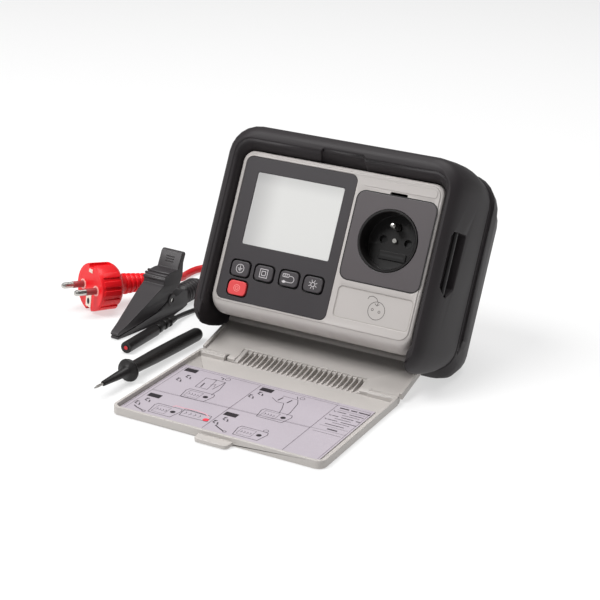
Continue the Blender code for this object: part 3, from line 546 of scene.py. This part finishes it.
KEYTOP = on_face(0.5)
C = {"earth": (-60.5, -25.8), "insulation": (-41.2, -25.7), "lead": (-20.9, -25.7), "lamp": (-1.6, -25.9),
     "power": (-59.6, -40.0)}
cx, cy = C["earth"]
strokes("mark_earth", [circle(cx, cy, 3.1), [(cx, cy + 2.4), (cx, cy + 0.1)], [(cx - 2.0, cy + 0.1), (cx + 2.0, cy + 0.1)],
                       [(cx - 1.3, cy - 0.8), (cx + 1.3, cy - 0.8)], [(cx - 0.6, cy - 1.7), (cx + 0.6, cy - 1.7)]],
        0.42, "print_key", "earth_key", KEYTOP)
cx, cy = C["insulation"]
strokes("mark_insulation", [rect(cx - 3.0, cy - 3.0, cx + 3.0, cy + 3.0), rect(cx - 1.5, cy - 1.5, cx + 1.5, cy + 1.5)],
        0.45, "print_key", "insulation_key", KEYTOP)
cx, cy = C["lead"]
strokes("mark_lead", [rect(cx - 5.0, cy + 1.0, cx - 0.2, cy + 3.2, 0.4), [(cx - 3.4, cy + 1.0), (cx - 3.4, cy + 3.2)],
                      [(cx - 1.8, cy + 1.0), (cx - 1.8, cy + 3.2)],
                      [(cx - 0.2, cy + 2.1)] + [(cx + 1.9 + 2.3 * math.cos(math.radians(a)), cy - 0.2 + 2.3 * math.sin(math.radians(a)))
                                                for a in range(90, -91, -15)] + [(cx - 2.0, cy - 2.5)]],
        0.42, "print_key", "lead_key", KEYTOP)
patches("mark_lead_end", [[(cx - 5.2, cy - 2.5), (cx - 3.6, cy - 3.6), (cx - 2.0, cy - 2.9), (cx - 2.0, cy - 2.1), (cx - 3.6, cy - 1.4)]],
        "print_key", "lead_key", KEYTOP)
cx, cy = C["lamp"]
rays = []
for a in range(0, 360, 45):
    ca, sa = math.cos(math.radians(a + 22.5)), math.sin(math.radians(a + 22.5))
    rays.append([(cx + 1.9 * ca, cy + 1.9 * sa), (cx + 3.5 * ca, cy + 3.5 * sa)])
strokes("mark_lamp", [circle(cx, cy, 1.5)] + rays, 0.42, "print_key", "lamp_key", KEYTOP)
cx, cy = C["power"]
strokes("mark_power", [circle(cx, cy, 2.4), circle(cx, cy, 1.2, a0=125, a1=415), [(cx, cy + 0.5), (cx, cy + 1.7)]],
        0.34, "print_keyred", "power_key", KEYTOP)

# pictogram of a plug in the lower label recess
LOWER = on_face(-0.6)
cx, cy = 49.5, -34.3
strokes("mark_plug", [circle(cx, cy, 6.3, 40), circle(cx - 3.1, cy + 0.4, 0.8, 12), circle(cx + 2.2, cy - 0.4, 0.8, 12),
                      [(cx - 8.2, cy + 7.0), (cx - 7.2, cy + 8.9), (cx - 4.6, cy + 9.6), (cx - 1.6, cy + 8.4), (cx + 0.2, cy + 5.6),
                       (cx - 0.4, cy + 3.6)],
                      [(cx - 2.2, cy + 4.9), (cx - 0.4, cy + 3.4), (cx + 1.3, cy + 4.8)]],
        0.42, "emboss_dark", "case", LOWER)
# frame of the lower recess drawn as a darker line: painted shade of its moulded edge
strokes("lower_frame_painted_shade", [rect(18.6, -44.0, 75.0, -22.5, 2.6)], 0.5, "emboss", "case", LOWER)
# raised blank pad over the socket
slab_mesh("upper_pad", rect(18.4, 49.9, 74.5, 55.6, 2.0), -0.3, 0.35, "bezel", "case", on_face(0), bevel=0.25)

# socket floor: raised blank plate with a dark rule across it
FLOOR_S = on_face(-14.7)
slab_mesh("socket_floor_pad", rect(35.6, 2.8, 56.6, 8.8, 0.8), -0.2, 0.9, "cup", "case", FLOOR_S, bevel=0.25)
strokes("socket_pad_rule", [[(37.2, 5.8), (55.0, 5.8)]], 1.5, "gap", "case", on_face(-13.8), lift=0.04)

# ------------------------------------------------------------------ lid: printed card
def P4(x0, y0, x1, y1):
    return [(x0, y0), (x1, y0), (x1, y1), (x0, y1)]


LID_TOP = Matrix.Translation((0, 0, 0.0029))
frame_lines = [
    ([(-73.2, -94.6), (71.6, -94.6), (71.6, -174.6)], 0.30), ([(-73.2, -94.6), (-73.2, -174.6)], 0.30),
    ([(-75.6, -92.2), (-75.6, -172.5)], 0.22), ([(-75.6, -92.2), (46.6, -92.2)], 0.22),
    ([(-73.2, -141.0), (46.6, -136.4)], 0.34), ([(-73.2, -140.0), (46.6, -135.4)], 0.16),
    ([(-13.4, -94.6), (-13.4, -174.6)], 0.42), ([(46.5, -94.6), (46.5, -175.2)], 0.42),
    ([(46.5, -135.4), (71.6, -134.6)], 0.26)]
devices = []
cell_blocks = []
knobs = []


def meter(x, y, w, hgt):
    """Small front view of a meter: bevelled outline, display marks, knob."""
    devices.append(([(x, y), (x + w, y), (x + w + 1.2, y - 3.2), (x + w - 1.0, y - hgt), (x + 0.6, y - hgt), (x - 1.2, y - 3.2), (x, y)], 0.42))
    devices.append(([(x + 1.8, y - 2.2), (x + w * 0.62, y - 2.2), (x + w * 0.62, y - hgt + 2.2), (x + 1.8, y - hgt + 2.2), (x + 1.8, y - 2.2)], 0.22))
    for i in range(4):
        xx = x + 3.2 + i * 2.2
        devices.append(([(xx, y - hgt * 0.42), (xx + 0.9, y - hgt * 0.52), (xx, y - hgt * 0.62)], 0.36))
    knobs.append(circle(x + w * 0.82, y - hgt * 0.46, 1.9, 12)[:-1])


def squiggle(x, y):
    """Short strokes where the real card has writing."""
    for dx, dy in ((0.0, 0.0), (-3.4, -7.4)):
        devices.append(([(x + dx, y + dy), (x + dx + 2.4, y + dy + 0.2)], 0.9))
        devices.append(([(x + dx + 1.2, y + dy), (x + dx + 0.6, y + dy - 2.8), (x + dx + 2.6, y + dy - 3.8)], 0.8))
        devices.append(([(x + dx + 3.6, y + dy - 1.6), (x + dx + 4.6, y + dy - 3.8)], 0.9))
        devices.append(([(x + dx + 4.0, y + dy - 4.6), (x + dx + 5.4, y + dy - 4.4)], 0.8))


meter(-52.0, -125.6, 19.5, 14.0)
meter(-57.4, -157.6, 18.5, 14.6)
meter(7.6, -126.6, 20.6, 13.4)
meter(7.6, -158.4, 19.6, 13.8)
for x, y in ((-71.8, -96.6), (-71.0, -146.6), (-11.8, -145.2), (-10.6, -97.4)):
    cell_blocks.append(P4(x - 0.2, y - 4.6, x + 9.4, y + 1.0))
for x, y in ((-65.5, -107.0), (-69.0, -154.5), (-9.0, -153.0), (-9.2, -104.5)):
    squiggle(x, y)
# appliance sketches and their leads
devices += [([(-52.0, -104.0), (-43.5, -104.0), (-41.5, -120.5), (-51.0, -120.5), (-52.0, -104.0)], 0.36),
            ([(-46.5, -103.0), (-36.6, -103.6), (-38.6, -118.6)], 0.40), ([(-48.4, -112.0), (-47.6, -119.0)], 0.9),
            ([(-43.5, -97.4), (-40.6, -98.4), (-40.8, -101.4)], 0.7), (circle(-37.6, -98.2, 1.9, 14), 0.36),
            ([(-36.4, -103.6), (-34.0, -116.0), (-34.4, -127.0)], 0.42), ([(-43.5, -112.5), (-40.5, -110.0), (-39.6, -114.6)], 0.3),
            ([(8.0, -101.7), (19.7, -102.0)], 0.34), ([(19.7, -102.0), (22.6, -108.0), (24.9, -123.5), (24.6, -128.0)], 0.42),
            ([(3.0, -108.0), (9.0, -112.5), (14.0, -112.0), (17.0, -120.0), (18.8, -127.6)], 0.42),
            ([(9.4, -104.0), (8.2, -110.0)], 0.9), ([(16.6, -104.6), (15.6, -110.4)], 0.9),
            (circle(21.4, -98.6, 1.7, 14), 0.36), ([(17.0, -97.6), (19.0, -101.0)], 0.5),
            (circle(24.6, -156.6, 1.7, 14), 0.36), ([(-38.0, -157.6), (-33.0, -156.4), (-20.0, -157.0)], 0.4),
            ([(-70.0, -168.5), (-67.0, -170.4), (-61.0, -172.6)], 0.9), (circle(-59.6, -173.2, 1.2, 10), 0.45),
            ([(-8.0, -166.4), (-5.0, -168.4), (0.4, -171.4)], 0.9), (circle(1.8, -171.8, 1.2, 10), 0.45),
            ([(-37.6, -155.4), (-16.6, -156.6), (-15.2, -165.2), (-36.4, -165.8), (-37.6, -155.4)], 0.42)]
for i in range(4):
    devices.append(([(-34.8 + 3.6 * i, -159.0), (-33.6 + 3.6 * i, -160.8), (-34.8 + 3.6 * i, -162.6)], 0.36))
# right column: short dashes stand for writing
rows = ((-98.0, 49.8, 7.0, 1.5), (-98.0, 58.2, 4.6, 1.5), (-98.0, 64.0, 8.4, 1.5), (-104.4, 51.0, 6.6, 0.8), (-104.6, 60.0, 10.6, 0.8),
        (-107.8, 56.0, 13.0, 0.5), (-111.4, 50.8, 4.4, 0.8), (-111.4, 57.4, 9.0, 0.8), (-111.8, 68.4, 3.4, 1.0),
        (-114.8, 54.0, 12.0, 0.5), (-118.2, 50.6, 7.0, 0.8), (-118.4, 60.2, 11.6, 0.8), (-121.4, 55.6, 12.4, 0.5),
        (-125.2, 52.0, 14.0, 0.8), (-132.0, 57.0, 7.4, 1.5), (-101.4, 49.6, 20.6, 0.25), (-128.4, 49.6, 20.6, 0.25),
        (-138.6, 49.6, 20.6, 0.3))
for y, x, w, t in rows:
    devices.append(([(x, y), (x + w, y)], t))
for y in (-104.4, -111.4, -118.2):
    devices.append(([(48.2, y + 0.9), (49.2, y - 0.6), (50.2, y + 0.2)], 0.5))
strokes("card_frame", frame_lines, 0.3, "print_grey", "lid", LID_TOP, lift=0.05)
strokes("card_sketches", devices, 0.4, "print_dark", "lid", LID_TOP, lift=0.06)
patches("card_blocks", cell_blocks, "print_block", "lid", LID_TOP, lift=0.06)
# darker line along a moulded step of the bezel: painted shade
strokes("bezel_step_painted_shade", [[(-75.9, -49.9), (13.9, -49.9)]], 0.25, "emboss", "case", on_face(0.0), lift=0.03)
patches("card_knobs", knobs, "print_block", "lid", LID_TOP, lift=0.07)
patches("card_red_dot", [circle(-17.4, -163.0, 2.2, 14)[:-1]], "print_red", "lid", LID_TOP, lift=0.08)
strokes("card_red_lead", [[(-46.6, -157.0), (-45.4, -154.8), (-38.5, -155.2), (-30.0, -153.8), (-22.0, -155.4), (-17.6, -158.4)]], 0.7,
        "print_pink", "lid", LID_TOP, lift=0.07)

# ------------------------------------------------------------------ details on the plug, clip and leads
def frame_of(origin, a, b, c):
    """Plane whose a, b, c axes are the given directions (mm point, unit vectors)."""
    m = Matrix((a, b, c)).transposed().to_4x4()
    return Matrix.Translation(origin * MM) @ m


def lathe(name, profile, plane, mat, body, steps=40, arc=360.0, smooth=35):
    """Solid of revolution about the plane's third axis; profile is (radius, height) in mm, closed on itself."""
    verts, faces = [], []
    k = len(profile)
    full = arc >= 359.9
    rings = steps if full else steps + 1
    for i in range(rings):
        t = math.radians(arc * i / steps)
        verts += [(r * math.cos(t), r * math.sin(t), z) for r, z in profile]
    for i in range(steps):
        j = (i + 1) % rings
        for q in range(k):
            w = (q + 1) % k
            faces.append((i * k + q, j * k + q, j * k + w, i * k + w))
    ob = mesh_from(name, verts, faces, mat, body, mw=plane)
    bm = bmesh.new()
    bm.from_mesh(ob.data)
    bmesh.ops.remove_doubles(bm, verts=bm.verts, dist=0.000001)
    bmesh.ops.recalc_face_normals(bm, faces=bm.faces)
    bm.to_mesh(ob.data)
    bm.free()
    ob.data.shade_smooth()
    ob.data.set_sharp_from_angle(angle=math.radians(smooth))
    return ob


def merged(name, obs, mat, body):
    """One piece out of several, with their rounding applied."""
    dg = bpy.context.evaluated_depsgraph_get()
    bm = bmesh.new()
    for o in obs:
        me = bpy.data.meshes.new_from_object(o.evaluated_get(dg))
        bm.from_mesh(me)
    me = bpy.data.meshes.new(name)
    bm.to_mesh(me)
    bm.free()
    for o in obs:
        bpy.data.objects.remove(o, do_unlink=True)
    me.shade_smooth()
    me.set_sharp_from_angle(angle=math.radians(35))
    return link(bpy.data.objects.new(name, me), body, mat)


PLUG_PLANE = frame_of(PLUG_FACE, -PLUG_SIDE, PLUG_UP, PLUG_AXIS)
slab_mesh("earth_clip_low", rect(-3.7, -15.6, 3.7, -3.4, 1.0), -0.6, 0.45, "cream", "case", PLUG_PLANE, bevel=0.2)
# painted shade: a flat near-black patch where the clip has its hole
patches("earth_clip_hole_painted_shade", [[(1.75 * math.cos(math.radians(a)), -10.9 + 2.6 * math.sin(math.radians(a)))
                                              for a in range(0, 360, 20)]], "gap", "case", PLUG_PLANE, lift=0.5)
slab_mesh("earth_clip_top", rect(-2.5, 11.9, 2.5, 14.6, 0.5), -0.6, 0.4, "cream", "case", PLUG_PLANE, bevel=0.2)
for nm, s in (("left", 1), ("right", -1)):
    pp = PLUG_PLANE @ Matrix.Translation((9.5 * s * MM, 0, 0))
    lathe("pin_ring_" + nm, [(2.75, -0.3), (2.75, 0.5), (4.0, 0.5), (4.0, -0.3)], pp, "ring", "case", steps=28)
    lathe("pin_sleeve_" + nm, [(2.3, 0.0), (2.3, 9.5), (2.62, 9.5), (2.62, 0.0)], pp, "sleeve", "case", steps=24)
    # moulded grips on the two flanks
    grips = []
    for i, ang in enumerate((-44, -22, 0, 22, 44)):
        ca, sa = math.cos(math.radians(ang)), math.sin(math.radians(ang))
        out_dir = (-PLUG_SIDE * s) * ca + PLUG_UP * sa
        tan = PLUG_AXIS.cross(out_dir).normalized()
        gp = frame_of(PLUG_FACE + out_dir * 17.6, tan, -PLUG_AXIS, out_dir)
        grips.append(slab_mesh("grip_%s_%d" % (nm, i), rect(-2.3, 2.0, 2.3, 17.2, 0.8), -0.6, 1.75, "plug", "case", gp, bevel=0.4))
    merged("plug_grip_" + nm, grips, "plug", "case")
BACK = frame_of(PLUG_FACE, PLUG_SIDE, PLUG_UP, -PLUG_AXIS)
ribs = []
for i in range(6):
    d = 30.0 + 4.3 * i
    r = 8.3 - 0.36 * i
    ribs.append(lathe("relief_rib_%d" % i, [(r - 2.4, d), (r - 0.3, d), (r, d + 0.4), (r, d + 1.9), (r - 0.3, d + 2.3),
                                                 (r - 2.4, d + 2.3)], BACK, "plug", "case", steps=32))

merged("relief_ribs", ribs, "plug", "case")

# clip: three ribs over the hinge, marks on the thumb tab, bosses round the pivot
CLIP_M = Matrix.Translation((-0.1484, -0.075, 0.0003)) @ Matrix.Rotation(math.radians(-2.55), 4, "Z")


def clip_bar(name, y, z, r, half, mat, body, segs=14):
    verts, faces = [], []
    for x, rr in ((-half, r * 0.75), (-half + 0.4, r), (half - 0.4, r), (half, r * 0.75)):
        verts += [(x, y + rr * math.cos(2 * math.pi * i / segs), z + rr * math.sin(2 * math.pi * i / segs)) for i in range(segs)]
    for q in range(3):
        for i in range(segs):
            j = (i + 1) % segs
            faces.append((q * segs + i, q * segs + j, (q + 1) * segs + j, (q + 1) * segs + i))
    faces.append(tuple(reversed(range(segs))))
    faces.append(tuple(range(3 * segs, 4 * segs)))
    ob = mesh_from(name, verts, faces, mat, body, smooth=True, mw=CLIP_M)
    ob.data.set_sharp_from_angle(angle=math.radians(50))
    return ob


clip_bar("clip_rib_0", 51.6, 33.2, 1.15, 9.9, "clip", "clip_jaw")
clip_bar("clip_rib_1", 54.2, 35.2, 1.15, 9.9, "clip", "clip_jaw")
clip_bar("clip_rib_2", 57.6, 36.2, 1.15, 9.9, "clip", "clip_jaw")
TAB = CLIP_M @ Matrix(((1, 0, 0, 0), (0, 0.4342, -0.9008, 0.0694), (0, 0.9008, 0.4342, 0.0362), (0, 0, 0, 1)))
for i, y in enumerate((5.4, 7.4, 9.4)):
    slab_mesh("clip_tab_grip_%d" % i, rect(-3.6, y - 0.4, 3.6, y + 0.4, 0.3), -0.3, 0.4, "clip", "clip_jaw", TAB, bevel=0.15)
for nm, s in (("left", -1), ("right", 1)):
    bp = CLIP_M @ Matrix(((0, 0, s, s * 0.0094), (0, s, 0, 0.062) if s < 0 else (1, 0, 0, 0.062), (1, 0, 0, 0.014) if s < 0 else (0, 1, 0, 0.014), (0, 0, 0, 1)))
    lathe("clip_boss_" + nm, [(1.9, -0.3), (1.9, 0.7), (4.4, 0.7), (4.8, 0.35), (4.8, -0.3)], bp, "clip", "clip", steps=32)
CLIP_BACK = CLIP_M @ Matrix(((1, 0, 0, 0), (0, 0, 1, 0), (0, -1, 0, 0.0082), (0, 0, 0, 1)))
for i in range(5):
    d = 90.0 + 3.6 * i
    lathe("clip_shroud_rib_%d" % i, [(6.6, d), (8.1, d), (8.35, d + 0.4), (8.35, d + 1.4), (8.1, d + 1.8), (6.6, d + 1.8)], CLIP_BACK,
          "clip", "clip", steps=28)

# test-lead connector: red core in the open end, collar and grip rings
CON_DIR = Vector((-0.9 / 69.4, 1.0, -0.004)).normalized()
CON_SIDE = CON_DIR.cross(Vector((0, 0, 1))).normalized()
CON = frame_of(Vector((-126.4, -92.4, 4.75)), CON_SIDE, CON_SIDE.cross(CON_DIR) * -1, CON_DIR)
con_bits = [lathe("connector_core", [(0.001, -0.25), (0.001, 0.3), (1.6, 0.3), (1.6, -0.25)], CON, "redcore", "case", steps=20),
            lathe("connector_rim", [(1.6, -0.4), (1.6, 0.5), (2.1, 0.5), (2.1, -0.4)], CON, "gap", "case", steps=20)]
for i, (d, w) in enumerate(((42.5, 4.5), (52.0, 3.0), (58.5, 2.2))):
    con_bits.append(lathe("connector_ring_%d" % i, [(2.4, d), (3.6, d), (3.8, d + 0.5), (3.8, d + w - 0.5), (3.6, d + w), (2.4, d + w)],
                          CON, "probe", "case", steps=24))

# ------------------------------------------------------------------ stage
floor = bpy.data.meshes.new("floor")
floor.from_pydata([(-6, -6, -0.0002), (6, -6, -0.0002), (6, 6, -0.0002), (-6, 6, -0.0002)], [], [(0, 1, 2, 3)])
fo = bpy.data.objects.new("floor", floor)
bpy.context.scene.collection.objects.link(fo)
fm, nt, b = nodes_of("floor_white")
b.inputs["Base Color"].default_value = (0.36, 0.36, 0.36, 1)
b.inputs["Emission Color"].default_value = (1, 1, 1, 1)
b.inputs["Emission Strength"].default_value = 0.58
b.inputs["Roughness"].default_value = 0.9
b.inputs["Specular IOR Level"].default_value = 0.1
floor.materials.append(fm)
world = bpy.data.worlds.new("studio")
bpy.context.scene.world = world
world.use_nodes = True
world.node_tree.nodes["Background"].inputs["Color"].default_value = (1, 1, 1, 1)
world.node_tree.nodes["Background"].inputs["Strength"].default_value = 0.25


def lamp(name, loc, target, size, watts, colour=(1, 1, 1)):
    d = bpy.data.lights.new(name, "AREA")
    d.shape = "DISK"
    d.size = size
    d.energy = watts
    d.color = colour
    o = bpy.data.objects.new(name, d)
    bpy.context.scene.collection.objects.link(o)
    o.location = loc
    o.rotation_euler = (Vector(target) - Vector(loc)).to_track_quat("-Z", "Y").to_euler()
    return o


lamp("key_light", (-0.7, -1.0, 1.8), (0, 0, 0.05), 1.1, 36)
lamp("fill_light", (-1.7, -0.9, 0.9), (0, 0, 0.05), 1.4, 5)
lamp("top_light", (0.1, 0.5, 2.0), (0, 0, 0.05), 1.4, 24)
